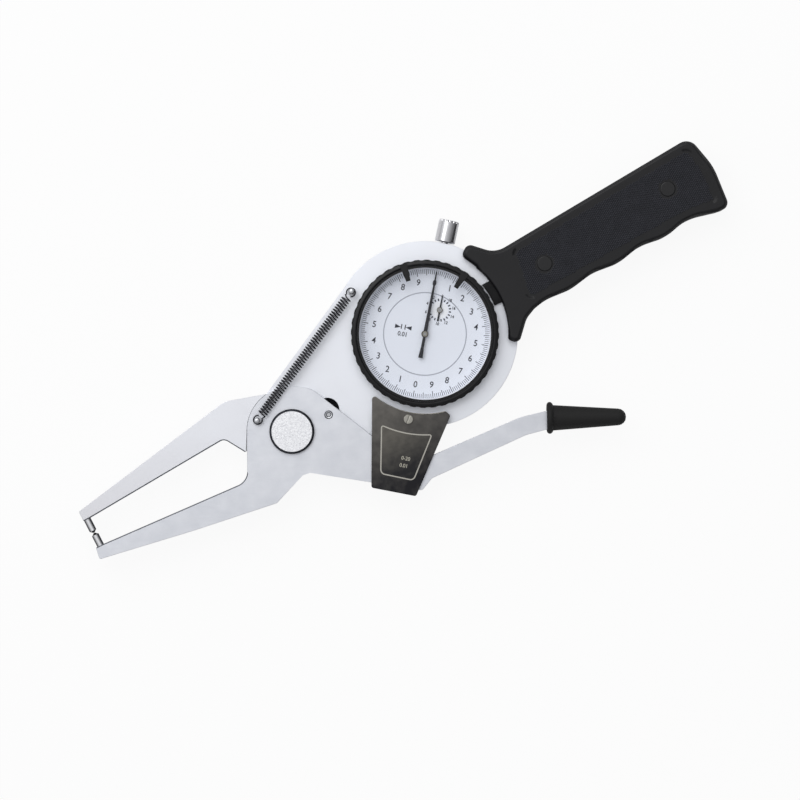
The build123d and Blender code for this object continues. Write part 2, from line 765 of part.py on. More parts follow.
def hairspring_stud():
    """Stud that holds the outer end of the hairspring."""
    last = 1.6 + 0.5 * 6
    spot = (takeup_at[0] + last + 0.15 - 0.25 + 0.6, takeup_at[1])
    return bar(0.6, rear_plate_top, rear_plate_top + 1.4, spot)


def bezel_retainer():
    """Split spring ring that keeps the bezel on the frame."""
    low = front_plate_low - 0.15
    ring = tube(front_bore + 0.5, skirt_radius - 0.25, low, low + 0.5)
    return ring - Pos(-front_bore, 0, low) * Box(4, 6, 3)


def bezel():
    """Scalloped turning bezel with its skirt, grip and upper rim."""
    groove_low = front_plate_low - 0.35
    collar = collar_radius
    profile = [(skirt_radius - skirt_wall, rear_plate_top + 0.5), (skirt_radius, rear_plate_top + 0.5),
               (skirt_radius, groove_low), (skirt_radius - 0.5, groove_low),
               (skirt_radius - 0.5, groove_low + 0.9), (skirt_radius, groove_low + 0.9),
               (skirt_radius, bezel_low), (collar - 0.6, bezel_low), (collar, bezel_low + 0.6),
               (collar, grip_top + 0.3), (collar - 0.4, grip_top + 0.3), (collar - 0.4, grip_top + 0.8),
               (collar, grip_top + 0.8),
               (collar, rim_top - 0.3), (collar - 0.3, rim_top), (glass_seat + 0.55, rim_top),
               (glass_seat, rim_top - 0.5), (glass_seat, scale_low), (skirt_radius - skirt_wall, scale_low)]
    reach = bezel_radius + scallop_cutter - scallop_depth
    hollows = []
    for hollow in range(scallop_count):
        hollows.append(Pos(*polar(reach, 360 * hollow / scallop_count)) * Circle(scallop_cutter))
    grip = Circle(bezel_radius) - hollows - Circle(collar - 0.3)
    return spun(profile) + slab(grip, bezel_low + 0.6, grip_top)


def scale_ring():
    """Turning ring with the main scale."""
    return tube(glass_seat - seat_gap, dial_disc_radius + loose_gap, scale_low, scale_top)


def dial_spacer_ring():
    """Wall between the scale ring and the glass."""
    return tube(glass_seat - seat_gap, window_radius, scale_top, glass_low)


def crystal():
    """Flat dial glass."""
    return bar(glass_seat - seat_gap, glass_low, glass_top)


def crystal_ring():
    """Snap ring over the glass."""
    return tube(glass_seat - seat_gap, window_radius, glass_top, rim_top - 0.5)


def limit_hand(angle):
    """Clip-on limit hand that slides round the upper rim of the bezel."""
    collar = collar_radius
    top = rim_top + running_gap + clip_wall
    inner = collar - limit_reach + 0.7
    profile = [(inner, rim_top + running_gap), (collar + running_gap, rim_top + running_gap),
               (collar + running_gap, grip_top + 0.7), (collar - 0.35, grip_top + 0.7),
               (collar - 0.35, grip_top + 0.4), (collar + 0.5, grip_top + 0.4),
               (collar + 0.5, top), (inner, top)]
    clip = spun(profile) & slab(wedge(bezel_radius + 10, angle - 3.0, angle + 3.0), 0, 40)
    tip = collar - limit_reach
    root = collar - 0.9
    tab = make_face(Polyline(polar(tip, angle - 2.3), polar(root, angle - 2.9),
                             polar(root, angle + 2.9), polar(tip, angle + 2.3), close=True))
    window = bar(collar - 1.4, 0, 40)
    return clip - window + slab(tab, rim_top + running_gap, top)


def centre_arbor():
    """Centre arbor with its ten-leaf pinion."""
    body = bar(arbor_radius, rear_plate_low, scale_top + 2.0)
    leaves = gear_face(centre_teeth, fine_module, arbor_direction + 180 / centre_teeth, (0, 0), 3)
    return body + slab(leaves, rear_plate_top + 0.2, front_plate_low - 0.2)


def main_pointer():
    """Main pointer with its hub and tail."""
    low = scale_top + 1.3
    turn = pointer_angle
    plan = outline([(*polar(window_radius - 1.6, turn), 0.0), (*polar(1.2, turn + 24), 0.0),
                    (*polar(-5.0, turn - 3), 0.0), (*polar(-9.7, turn - 4.8), 0.3),
                    (*polar(-9.7, turn + 4.8), 0.3), (*polar(-5.0, turn + 3), 0.0),
                    (*polar(1.2, turn - 24), 0.0)])
    body = slab(plan, low, low + 0.3) + bar(1.4, low - 0.3, low + 0.8)
    return body - bar(arbor_radius + seat_gap, low - 1, low + 2)


def counter_arbor():
    """Drive arbor with the sixteen-tooth pinion that meets the sector."""
    body = bar(drive_arbor_radius, sector_low - 0.3, scale_top + 0.8, drive_at)
    leaves = gear_face(drive_teeth, sector_module, drive_angle, drive_at, 3)
    return body + slab(leaves, sector_low - 0.3, sector_top + 0.3)


def fine_wheel(at, low, aim, bore):
    """Hundred-tooth wheel with four round windows."""
    body = slab(gear_face(wheel_teeth, fine_module, aim, at, 1), low, low + wheel_thick)
    for turn in range(4):
        body -= bar(2.6, low - 1, low + 2, polar(5.4, aim + 45 + 90 * turn, at))
    return body - bar(bore, low - 1, low + 2, at)


def counter_wheel():
    """Large wheel on the drive arbor."""
    return fine_wheel(drive_at, rear_plate_top + 0.5, arbor_direction + 180, drive_arbor_radius + seat_gap)


def counter_pointer():
    """Small pointer that counts the turns."""
    low = scale_top + 0.3
    turn = pointer_angle
    plan = outline([(*polar(5.6, turn, drive_at), 0.0), (*polar(1.0, turn + 30, drive_at), 0.0),
                    (*polar(-4.3, turn - 6, drive_at), 0.2), (*polar(-4.3, turn + 6, drive_at), 0.2),
                    (*polar(1.0, turn - 30, drive_at), 0.0)])
    body = slab(plan, low, low + 0.25) + bar(1.25, low - 0.1, low + 0.45, drive_at)
    return body - bar(drive_arbor_radius + seat_gap, low - 1, low + 2, drive_at)


def takeup_arbor():
    """Arbor of the take-up wheel."""
    return bar(arbor_radius, rear_plate_low, front_plate_top, takeup_at)


def takeup_wheel():
    """Wheel that keeps the play out of the train."""
    low = front_plate_low - 0.3 - wheel_thick
    return fine_wheel(takeup_at, low, arbor_direction, arbor_radius + seat_gap)


def clamp_knob():
    """Fluted knob and screw that lock the bezel."""
    level = front_plate_low - 1.7
    start = ring_radius + knob_standoff
    end = start + knob_length
    shape = spun([(0, skirt_radius + 0.15), (0.9, skirt_radius + 0.15), (0.9, skirt_radius + 1.5),
                  (clamp_screw, skirt_radius + 1.5), (clamp_screw, start), (knob_radius - 0.3, start),
                  (knob_radius, start + 0.3), (knob_radius, end - 0.4), (knob_radius - 0.4, end), (0, end)])
    for flute in range(16):
        shape -= bar(flute_radius, start + flute_start, end + 1, polar(knob_radius + 0.15, 22.5 * flute))
    return aimed(shape, (0.0, 0.0), level, knob_angle)


def spring_heading():
    """Direction of the spring from its low post."""
    return math.degrees(math.atan2(spring_up[1] - spring_low[1], spring_up[0] - spring_low[0]))


def spring_coil():
    """Close outer shape of the closed coil with its bore and broken ends."""
    length = math.dist(spring_low, spring_up)
    start = 3.1
    end = length - 3.4
    bore = spring_outer - 2 * spring_wire
    profile = [(bore, start + 0.5), (bore, end - 0.5), (0.0, end - 0.5), (0.0, end),
               (spring_outer - spring_wire, end), (spring_outer, end - spring_wire),
               (spring_outer, start + spring_wire), (spring_outer - spring_wire, start),
               (0.0, start), (0.0, start + 0.5)]
    return aimed(spun(profile), spring_low, spring_level, spring_heading())


def spring_hook(post, direction, reach):
    """Open loop round a post with its neck to the coil."""
    loop = spring_outer - spring_wire
    offset = loop - spring_wire - post_radius - 0.06
    centre = polar(offset, direction, post)
    section = Plane.XZ * Pos(loop, 0) * RegularPolygon(spring_wire, 8)
    ring = Pos(*centre, spring_level) * Rot(0, 0, direction + 50) * revolve(section, Axis.Z, 330)
    start = offset + loop
    neck = aimed(Pos(0, 0, (reach - start) / 2) * Cylinder(spring_wire, reach - start),
                 polar(start, direction, post), spring_level, direction)
    return ring + neck


def spring_hook_lower():
    """Hook at the moving end of the spring."""
    return spring_hook(spring_low, spring_heading(), 3.1)


def spring_hook_upper():
    """Hook at the frame end of the spring."""
    return spring_hook(spring_up, spring_heading() + 180, 3.4)


pieces = {
    "frame": frame(),
    "fixed_anvil": fixed_anvil(),
    "rear_cover": rear_cover(),
    "rear_cover_screws": rear_cover_screws(),
    "pivot_shaft": pivot_shaft(),
    "pivot_clip": pivot_clip(),
    "pivot_washer": pivot_washer(),
    "pivot_cap": pivot_cap(),
    "handle_front_shell": handle_front_shell(),
    "handle_rear_shell": handle_rear_shell(),
    "handle_screws": handle_screws(),
    "handle_plugs": handle_plugs(),
    "label_bracket": label_bracket(),
    "label_screw": label_screw(),
    "label_bracket_screws": label_bracket_screws(),
    "spring_post_upper": spring_post(spring_up, frame_front, frame_front - 2.8),
    "movement_plate_rear": movement_plate_rear(),
    "movement_plate_screws": movement_plate_screws(),
    "movement_plate_front": movement_plate(front_plate_radius, front_plate_low, front_plate_top),
    "movement_pillars": movement_pillars(),
    "movement_screws": movement_screws(),
    "bearing_jewels": bearing_jewels(),
    "dial_disc": dial_disc(),
    "hairspring": hairspring(),
    "hairspring_stud": hairspring_stud(),
    "bezel_retainer": bezel_retainer(),
    "moving_jaw": moving_jaw(),
    "pivot_bush": pivot_bush(),
    "moving_anvil": moving_anvil(),
    "drive_pin": drive_pin(),
    "spring_post_lower": spring_post(spring_low, plate_top, plate_low + 0.6),
    "lever_sleeve": lever_sleeve(),
    "sector_arm": sector_arm(),
    "bezel": bezel(),
    "scale_ring": scale_ring(),
    "dial_spacer_ring": dial_spacer_ring(),
    "crystal": crystal(),
    "crystal_ring": crystal_ring(),
    "limit_hand_left": limit_hand(limit_left_angle),
    "limit_hand_right": limit_hand(limit_right_angle),
    "centre_arbor": centre_arbor(),
    "main_pointer": main_pointer(),
    "counter_arbor": counter_arbor(),
    "counter_wheel": counter_wheel(),
    "counter_pointer": counter_pointer(),
    "takeup_arbor": takeup_arbor(),
    "takeup_wheel": takeup_wheel(),
    "clamp_knob": clamp_knob(),
    "spring_hook_upper": spring_hook_upper(),
    "spring_coil": spring_coil(),
    "spring_hook_lower": spring_hook_lower(),
}

os.makedirs("parts", exist_ok=True)
for name, piece in pieces.items():
    shape = Compound(children=piece) if isinstance(piece, list) else piece
    export_step(shape, f"parts/{name}.step")
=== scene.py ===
import json
import math

import bmesh
import bpy
from mathutils import Matrix, Vector
from mathutils.bvhtree import BVHTree


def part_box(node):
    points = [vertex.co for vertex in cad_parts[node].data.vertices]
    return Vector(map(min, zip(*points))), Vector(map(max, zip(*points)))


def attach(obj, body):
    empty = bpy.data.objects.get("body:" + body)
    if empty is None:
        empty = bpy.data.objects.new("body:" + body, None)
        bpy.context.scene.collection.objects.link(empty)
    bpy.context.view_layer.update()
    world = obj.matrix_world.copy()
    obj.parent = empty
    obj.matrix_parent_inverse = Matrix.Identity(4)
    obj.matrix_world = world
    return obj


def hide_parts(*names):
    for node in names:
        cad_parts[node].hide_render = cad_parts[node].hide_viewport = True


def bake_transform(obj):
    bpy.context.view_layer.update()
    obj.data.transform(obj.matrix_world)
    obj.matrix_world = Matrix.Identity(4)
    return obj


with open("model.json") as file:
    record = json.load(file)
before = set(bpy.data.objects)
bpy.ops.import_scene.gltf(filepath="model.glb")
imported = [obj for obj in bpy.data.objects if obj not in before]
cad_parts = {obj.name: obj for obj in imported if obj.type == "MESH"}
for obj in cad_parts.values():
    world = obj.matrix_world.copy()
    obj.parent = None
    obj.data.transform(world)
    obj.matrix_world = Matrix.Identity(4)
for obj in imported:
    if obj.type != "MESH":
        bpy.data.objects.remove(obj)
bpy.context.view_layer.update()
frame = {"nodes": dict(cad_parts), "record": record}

# The bench
# The gauge lies on its flat rear cover on a white bench. One broad soft lamp hangs over its upper left, and
# the room gets darker away from it. The camera looks straight down, with the grip up to the right.
view_turn = math.radians(27.1)
picture_centre = Vector((-0.0205, -0.0186, 0.0125))
picture_width = 0.3136
camera_height = 1.5
sensor_width = 36
right_hand = Vector((math.cos(view_turn), -math.sin(view_turn), 0))
up_hand = Vector((math.sin(view_turn), math.cos(view_turn), 0))
lamp_right, lamp_up, lamp_above = -0.31, 0.5, 0.75
bench_half, bench_level = 2.5, -0.0003
bench_seen, bench_mirrored = 0.92, 0.15


def placed(name, data):
    """Object of the given data, linked to the scene."""
    made = bpy.data.objects.new(name, data)
    bpy.context.scene.collection.objects.link(made)
    return made


camera_data = bpy.data.cameras.new("camera")
camera_data.sensor_width = sensor_width
camera_data.lens = sensor_width * camera_height / picture_width
camera = placed("camera", camera_data)
camera.location = picture_centre + Vector((0, 0, camera_height))
camera.rotation_euler = (0, 0, -view_turn)
bpy.context.scene.camera = camera
bpy.context.scene.view_settings.view_transform = "Standard"

lamp_data = bpy.data.lights.new("key_lamp", "AREA")
lamp_data.size = 0.85
lamp_data.energy = 4.3
lamp = placed("key_lamp", lamp_data)
lamp.location = picture_centre + right_hand * lamp_right + up_hand * lamp_up + Vector((0, 0, lamp_above))
lamp.rotation_euler = (picture_centre - lamp.location).to_track_quat("-Z", "Y").to_euler()


class Output:
    """An output of a node. Python arithmetic on it adds Math nodes."""

    def __init__(self, nodes, socket):
        self.nodes = nodes
        self.socket = socket

    def math(self, operation, *values):
        return self.nodes.node("ShaderNodeMath", {"operation": operation}, dict(enumerate(values)))

    def __add__(self, other):
        return self.math("ADD", self, other)

    def __radd__(self, other):
        return self.math("ADD", other, self)

    def __sub__(self, other):
        return self.math("SUBTRACT", self, other)

    def __rsub__(self, other):
        return self.math("SUBTRACT", other, self)

    def __mul__(self, other):
        return self.math("MULTIPLY", self, other)

    def __rmul__(self, other):
        return self.math("MULTIPLY", other, self)


class Nodes:
    """The nodes of a finish or of the room, all made by one method."""

    def __init__(self, tree):
        self.tree = tree

    def plug(self, node, key, value):
        if isinstance(value, Output):
            self.tree.links.new(value.socket, node.inputs[key])
        else:
            node.inputs[key].default_value = value

    def node(self, kind, settings, sockets, output=0):
        made = self.tree.nodes.new(kind)
        for key, value in settings.items():
            if key == "stops":
                for stop, (place, shade) in zip(made.color_ramp.elements, value):
                    stop.position, stop.color = place, shade
            else:
                setattr(made, key, value)
        for key, value in sockets.items():
            self.plug(made, key, value)
        return Output(self, made.outputs[output])


class Finish(Nodes):
    """A surface finish: a material whose fixed values sit on the shader and whose patterns are nodes."""

    def __init__(self, name, colour, **fixed):
        self.material = bpy.data.materials.new(name)
        self.material.use_nodes = True
        super().__init__(self.material.node_tree)
        self.shader = self.tree.nodes["Principled BSDF"]
        self.shade(Base_Color=paint(*colour), **fixed)

    def shade(self, **sockets):
        for socket, value in sockets.items():
            self.plug(self.shader, socket.replace("_", " "), value)

    def place(self):
        return self.node("ShaderNodeTexCoord", {}, {}, "Object")

    def axis(self, which):
        return self.node("ShaderNodeSeparateXYZ", {}, {0: self.place()}, which)

    def mapped(self, turn, stretch):
        """Place turned about Z, on which a pattern is drawn out along an axis."""
        return self.node("ShaderNodeMapping", {"vector_type": "TEXTURE"},
                         {"Vector": self.place(), "Rotation": (0, 0, turn), "Scale": stretch})

    def noise(self, grain, detail=2.0, where=None):
        """Noise whose lumps are about grain metres wide."""
        where = where or self.place()
        return self.node("ShaderNodeTexNoise", {}, {"Vector": where, "Scale": 1 / grain, "Detail": detail})

    def rise(self, value, low, high):
        """Number that goes from 0 to 1 as the value goes from low to high."""
        return self.node("ShaderNodeMapRange", {}, {"Value": value, "From Min": low, "From Max": high})

    def between(self, factor, low, high):
        """Number from low to high as the factor runs from 0 to 1."""
        return low + factor * (high - low)

    def tint(self, factor, low, high):
        """Colour from low to high as the factor runs from 0 to 1."""
        return self.node("ShaderNodeMix", {"data_type": "RGBA"},
                         {0: factor, 6: paint(*low), 7: paint(*high)}, 2)

    def relief(self, height, depth):
        """Surface normal of a height pattern that is depth metres deep."""
        return self.node("ShaderNodeBump", {}, {"Height": height, "Distance": depth})


def paint(red, green, blue):
    """Linear colour of an 8 bit screen colour."""
    shades = [level / 255 for level in (red, green, blue)]
    return (*[s / 12.92 if s <= 0.04045 else ((s + 0.055) / 1.055) ** 2.4 for s in shades], 1.0)


bench = Finish("bench_white", (240, 240, 240), Roughness=0.9)
shown, mirrored, passed = [bench.node("ShaderNodeLightPath", {}, {}, f"Is {kind} Ray")
                           for kind in ("Camera", "Glossy", "Transmission")]
share = shown.math("MINIMUM", shown * bench_seen + mirrored * bench_mirrored + passed, 1.0)
glow = bench.node("ShaderNodeEmission", {}, {"Color": (1, 1, 1, 1), "Strength": 1.0})
painted = Output(bench, bench.shader.outputs[0])
mixed = bench.node("ShaderNodeMixShader", {}, {0: share, 1: painted, 2: glow})
bench.plug(bench.tree.nodes["Material Output"], "Surface", mixed)
top = bmesh.new()
bmesh.ops.create_grid(top, x_segments=1, y_segments=1, size=bench_half,
                      matrix=Matrix.Translation((0, 0, bench_level)))
bench_mesh = bpy.data.meshes.new("bench")
top.to_mesh(bench_mesh)
top.free()
bench_mesh.materials.append(bench.material)
placed("bench", bench_mesh)

room = bpy.data.worlds.new("room")
room.use_nodes = True
bpy.context.scene.world = room
walls = Nodes(room.node_tree)
bright_side = (-right_hand * 0.4 + up_hand * 0.36 + Vector((0, 0, 0.84))).normalized()
dark_wall, bright_wall = (0.05, (0.19, 0.19, 0.195, 1)), (0.9, (0.725, 0.725, 0.735, 1))
towards = walls.node("ShaderNodeTexCoord", {}, {}, "Generated")
lean = walls.node("ShaderNodeVectorMath", {"operation": "DOT_PRODUCT"}, {0: towards, 1: bright_side}, "Value")
wall_colour = walls.node("ShaderNodeValToRGB", {"stops": (dark_wall, bright_wall)}, {"Fac": lean})
from_camera = walls.node("ShaderNodeLightPath", {}, {}, "Is Camera Ray")
backdrop = walls.node("ShaderNodeMix", {"data_type": "RGBA"},
                      {0: from_camera, 6: wall_colour, 7: (1, 1, 1, 1)}, 2)
walls.plug(walls.tree.nodes["Background"], "Color", backdrop)

# Frame casting
# One steel casting: dial ring, web, pivot lobe and upper jaw, blasted and plated in pearl satin chrome, with
# finely broken edges and a wider chamfer round the throat, painted dark grey as painted shade. The chrome is
# painted darker towards the jaw tip, also a painted shade. Six screws hold the rear cover, finished alike.
homes = {node: body for body, nodes in frame["record"]["behaviour"]["bodies"].items() for node in nodes}
slots = {part["node"]: part["material_slot"] for part in frame["record"]["subparts"]}
sharp_angle = math.radians(30)
cloud_size, cloud_shade, cloud_gloss = 0.012, 0.955, 0.05


def put(name, mesh, finishes, body=None, slot=None, nodes=(), smooth=35, flat=True):
    """Make a mesh a piece that rides on a body, or on the body of the CAD nodes that it stands for."""
    piece = placed(name, mesh)
    for finish in finishes:
        mesh.materials.append(finish.material)
    mesh.shade_smooth()
    mesh.set_sharp_from_angle(angle=math.radians(smooth))
    if flat:
        weighted = piece.modifiers.new("flat_faces", "WEIGHTED_NORMAL")
        weighted.keep_sharp = True
        weighted.weight = 100
        weighted.thresh = 0.0001
    if nodes:
        body, slot = homes[nodes[0]], slots[nodes[0]]
        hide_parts(*nodes)
    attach(piece, body)
    return piece


def merged(node):
    """Copy of a CAD node's mesh with its loose faces joined and its flat faces whole."""
    form = bmesh.new()
    form.from_mesh(frame["nodes"][node].data)
    bmesh.ops.remove_doubles(form, verts=form.verts, dist=2e-6)
    bmesh.ops.dissolve_limit(form, angle_limit=math.radians(0.6), verts=form.verts, edges=form.edges)
    return form


def break_edges(form, width, steps=2, where=None):
    """Round the sharp edges of a form and return the new faces."""
    chosen = [e for e in form.edges if len(e.link_faces) == 2 and sharp_angle < e.calc_face_angle() < math.pi]
    if where:
        chosen = [e for e in chosen if where(e)]
    made = bmesh.ops.bevel(form, geom=chosen, offset=width, offset_type="OFFSET", segments=steps, profile=0.5,
                           affect="EDGES", clamp_overlap=False, material=-1)
    bmesh.ops.remove_doubles(form, verts=form.verts, dist=2e-5)
    return [face for face in made["faces"] if face.is_valid]


def finished(form, name):
    """Mesh of a bmesh, which is freed."""
    mesh = bpy.data.meshes.new(name)
    form.to_mesh(mesh)
    form.free()
    return mesh


def skin(node, finish, width=0.0, steps=2):
    """Replace a CAD node by its own shape with broken edges and smooth rounds."""
    form = merged(node)
    if width:
        break_edges(form, width, steps)
    put(f"{node}_skin", finished(form, node), [finish], nodes=(node,))


def dress(finish, *nodes):
    """Give CAD nodes a finish."""
    for node in nodes:
        for slot in frame["nodes"][node].material_slots:
            slot.material = finish.material


def satin(name, colour, rough, grain=0.00025, depth=0.000006):
    """Blasted or ground metal: fine grain, faint clouds in shade and gloss."""
    finish = Finish(name, colour, Metallic=1.0)
    clouds = finish.noise(cloud_size, detail=3.0)
    darker = [level * cloud_shade for level in colour]
    finish.shade(Base_Color=finish.tint(clouds, darker, colour),
                 Roughness=finish.between(clouds, rough - cloud_gloss, rough + cloud_gloss),
                 Normal=finish.relief(finish.noise(grain), depth))
    return finish


jaw_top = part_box("moving_jaw")[1][2]
jaw_edge = 0.00012
broken_above = 0.0075
throat_start, throat_end = -0.16, -0.0835
throat_middle = Vector((-0.118, -0.0105, 0))
throat_width = 0.00042
throat_play, throat_lean = 0.0002, 0.0005
cap_low, cap_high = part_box("pivot_cap")
pivot_middle = (Vector(cap_low) + Vector(cap_high)) / 2
disc_radius, pocket_reach = 0.0175, 0.0179
disc_growth, disc_play = 0.008, 0.00002


def edge_middle(edge):
    """Middle of an edge."""
    return (edge.verts[0].co + edge.verts[1].co) / 2


def in_throat(edge):
    """True for a top edge of either jaw that faces the throat between the jaws."""
    spot = edge_middle(edge)
    if abs(spot.z - jaw_top) > throat_play or not throat_start < spot.x < throat_end:
        return False
    aim = throat_middle - spot
    sides = [face.normal for face in edge.link_faces if abs(face.normal.z) < 0.5]
    return any(side.x * aim.x + side.y * aim.y > throat_lean for side in sides)


def beside_disc(edge):
    """True for an edge of the moving jaw's disc, or of the hollow that it turns in."""
    spot = edge_middle(edge) - pivot_middle
    return math.hypot(spot.x, spot.y) < pocket_reach


def jaw_plate(node, finish, where):
    """Jaw with finely broken edges, a wider chamfer round the throat painted dark as painted shade, and dead
    flat faces.
    """
    form = merged(node)
    for vert in form.verts:
        reach = math.hypot(vert.co.x - pivot_middle.x, vert.co.y - pivot_middle.y)
        if node == "moving_jaw" and abs(reach - disc_radius) < disc_play:
            vert.co.x += (vert.co.x - pivot_middle.x) * disc_growth
            vert.co.y += (vert.co.y - pivot_middle.y) * disc_growth
    for face in break_edges(form, throat_width, steps=1, where=in_throat):
        face.material_index = 1
    break_edges(form, jaw_edge, where=lambda e: where(e) and not any(f.material_index for f in e.link_faces))
    plate = put(f"{node}_skin", finished(form, node), [finish, throat_painted_shade], nodes=(node,))
    for face in plate.data.polygons:
        if abs(face.normal.z) > 0.9999:
            face.use_smooth = False


pearl_chrome = Finish("pearl_chrome", (238, 240, 245), Metallic=1.0)
clouds = pearl_chrome.noise(cloud_size, detail=3.0)
# The casting is painted darker towards the jaw tip and lighter towards the ring: painted shade.
painted_light_toward_ring = pearl_chrome.rise(pearl_chrome.axis("X"), -0.15, -0.03)
pearl_chrome.shade(Base_Color=pearl_chrome.tint(painted_light_toward_ring * 0.7 + clouds * 0.3, (220, 220, 224),
                                                (238, 241, 247)),
                   Roughness=pearl_chrome.between(clouds, 0.37, 0.47),
                   Normal=pearl_chrome.relief(pearl_chrome.noise(0.00025), depth=0.000006))
# The dark grey finish of the throat chamfer is painted shade along the throat.
throat_painted_shade = satin("throat_painted_shade", (132, 135, 142), rough=0.4)
jaw_plate("frame", pearl_chrome, lambda e: min(v.co.z for v in e.verts) > broken_above and not beside_disc(e))
skin("rear_cover", pearl_chrome, width=0.0001)

bright_screw = satin("bright_screw", (190, 192, 196), rough=0.28, grain=0.0004)
first_slot, slot_step = 15, 37


def only(kind, items):
    """The items that are one kind of bmesh element."""
    return [item for item in items if isinstance(item, kind)]


def push(form, faces, lift, keep=False):
    """Extrude faces and move the new ones up."""
    pushed = bmesh.ops.extrude_face_region(form, geom=faces, use_keep_orig=keep)["geom"]
    bmesh.ops.translate(form, vec=(0, 0, lift), verts=only(bmesh.types.BMVert, pushed))


def slotted(node, width, depth):
    """Replace screws whose heads face down by the same screws, each with a driver slot at its own angle."""
    form = merged(node)
    for number, end in enumerate([face for face in form.faces if face.normal.z < -0.99]):
        middle = end.calc_center_median()
        aim = math.radians(first_slot + slot_step * number)
        aside = Vector((-math.sin(aim), math.cos(aim), 0))
        parts = [end]
        for side in (-1, 1):
            pieces = parts + [edge for face in parts for edge in face.edges]
            pieces += [vert for face in parts for vert in face.verts]
            split = bmesh.ops.bisect_plane(form, geom=list(dict.fromkeys(pieces)), dist=1e-7,
                                           plane_co=middle + aside * side * width / 2, plane_no=aside)
            parts = only(bmesh.types.BMFace, split["geom"])
        slot = min(parts, key=lambda face: abs((face.calc_center_median() - middle).dot(aside)))
        push(form, [slot], depth)
    put(f"{node}_skin", finished(form, node), [bright_screw], nodes=(node,))


slotted("rear_cover_screws", width=0.0004, depth=0.0004)
slotted("label_bracket_screws", width=0.0005, depth=0.0005)
dress(bright_screw, "handle_screws")

# Movement
# A brass and a nickelled plate on four pillars carry three arbors in ruby rings. The sector arm drives the
# first arbor, its wheel the centre arbor, and the take-up wheel with its flat spring keeps the play out.
brass = satin("plate_brass", (196, 164, 96), rough=0.32, grain=0.0005)
nickel = satin("plate_nickel", (172, 175, 186), rough=0.4, grain=0.0005)
gear_steel = satin("gear_steel", (150, 152, 156), rough=0.35, grain=0.0004)
burnished = satin("burnished_steel", (34, 35, 38), rough=0.4, grain=0.0004)
blued = satin("blued_ribbon", (70, 84, 130), rough=0.3)
ruby = Finish("ring_ruby", (150, 20, 45), Roughness=0.15, Coat_Weight=0.6)
ruby.shade(Base_Color=ruby.tint(ruby.noise(0.001), (130, 12, 36), (170, 30, 60)))
dress(brass, "movement_plate_rear", "movement_pillars", "counter_wheel", "takeup_wheel", "pivot_bush")
dress(nickel, "movement_plate_front")
dress(burnished, "sector_arm")
dress(gear_steel, "centre_arbor", "counter_arbor", "takeup_arbor", "hairspring_stud", "bezel_retainer",
      "movement_plate_screws", "movement_screws", "pivot_clip", "pivot_shaft")
dress(ruby, "bearing_jewels")
dress(blued, "hairspring")

# Moving jaw
# Lower jaw, pivot disc and squeeze lever cut from one ground plate, a shade darker than the casting, with a
# faint grain along its length. A hardened pin with a turned ring is pressed through it, in the stop hole.
ground_steel = Finish("ground_steel", (219, 222, 227), Metallic=1.0)
streaks = ground_steel.noise(0.0006, detail=3.0,
                             where=ground_steel.mapped(math.radians(-28), stretch=(14, 1, 1)))
haze = ground_steel.noise(0.006, detail=4.0)
ground_steel.shade(Base_Color=ground_steel.tint(haze, (209, 212, 219), (233, 235, 240)),
                   Roughness=ground_steel.between(streaks, 0.34, 0.46),
                   Normal=ground_steel.relief(streaks, depth=0.000012))
jaw_plate("moving_jaw", ground_steel, lambda e: not (beside_disc(e) and e.verts[0].co.x < pivot_middle.x))

polished = satin("polished_pin", (206, 208, 212), rough=0.24, grain=0.0003, depth=0.000002)
pin_painted_shade = satin("pin_painted_shade", (84, 86, 92), rough=0.3)
turned_rings = ((0.0003, 0.0), (0.0002, -0.00012), (0.00012, 0.00012))


def sloping(face, flattest=0.95):
    """True for an upper face that neither lies flat nor stands upright."""
    return 0.2 < face.normal.z < flattest


form = merged("drive_pin")
break_edges(form, width=0.00028)
end = max(form.faces, key=lambda face: face.calc_center_median().z)
# The sunk turned ring and the sloping edges of the pin are painted dark, a painted shade.
for step, sink in turned_rings:
    rim = bmesh.ops.inset_region(form, faces=[end], thickness=step, depth=sink, use_even_offset=True)["faces"]
    for face in rim:
        face.material_index = 1 if sink else 0
for face in form.faces:
    if sloping(face):
        face.material_index = 1
put("drive_pin_skin", finished(form, "drive_pin"), [polished, pin_painted_shade], nodes=("drive_pin",), smooth=25)

# Contact pins
# Hardened round pins pressed into the jaw tips. Each has a turned neck and a domed end that touches the work.
# Their flanks are painted dark as painted shade and their crest painted bright as a painted highlight.
pin_low, pin_high = (corner[2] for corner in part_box("fixed_anvil"))
pin_middle, pin_half = (pin_low + pin_high) / 2, (pin_high - pin_low) / 2
hard_pin = Finish("hard_pin", (244, 245, 247), Metallic=1.0)
# Painted shade on the flanks and a painted highlight along the crest, by height.
painted_highlight_crest = hard_pin.rise(hard_pin.axis("Z"), pin_middle + pin_half * 0.66, pin_high)
hard_pin.shade(Base_Color=hard_pin.tint(painted_highlight_crest, (58, 59, 64), (244, 245, 247)),
               Roughness=hard_pin.between(hard_pin.noise(0.0005), 0.2, 0.28))
skin("fixed_anvil", hard_pin)
skin("moving_anvil", hard_pin)

# Pivot cap
# Round nut with a sand-blasted face whose rim and sides are painted dark, a painted shade round its edge.
# It runs against a black thrust washer.
cap_face = Finish("cap_face", (236, 237, 241), Metallic=1.0)
grit = cap_face.rise(cap_face.noise(0.00045, detail=3.0), 0.32, 0.68)
cap_face.shade(Base_Color=cap_face.tint(grit, (222, 223, 227), (252, 253, 255)),
               Roughness=cap_face.between(grit, 0.55, 0.42), Normal=cap_face.relief(grit, depth=0.00003))
cap_painted_shade = satin("cap_painted_shade", (66, 68, 74), rough=0.35)
form = merged("pivot_cap")
break_edges(form, width=0.00008)
cap_top = max(form.faces, key=lambda face: face.calc_center_median().z)
bmesh.ops.inset_region(form, faces=[cap_top], thickness=0.0002, depth=0.0)
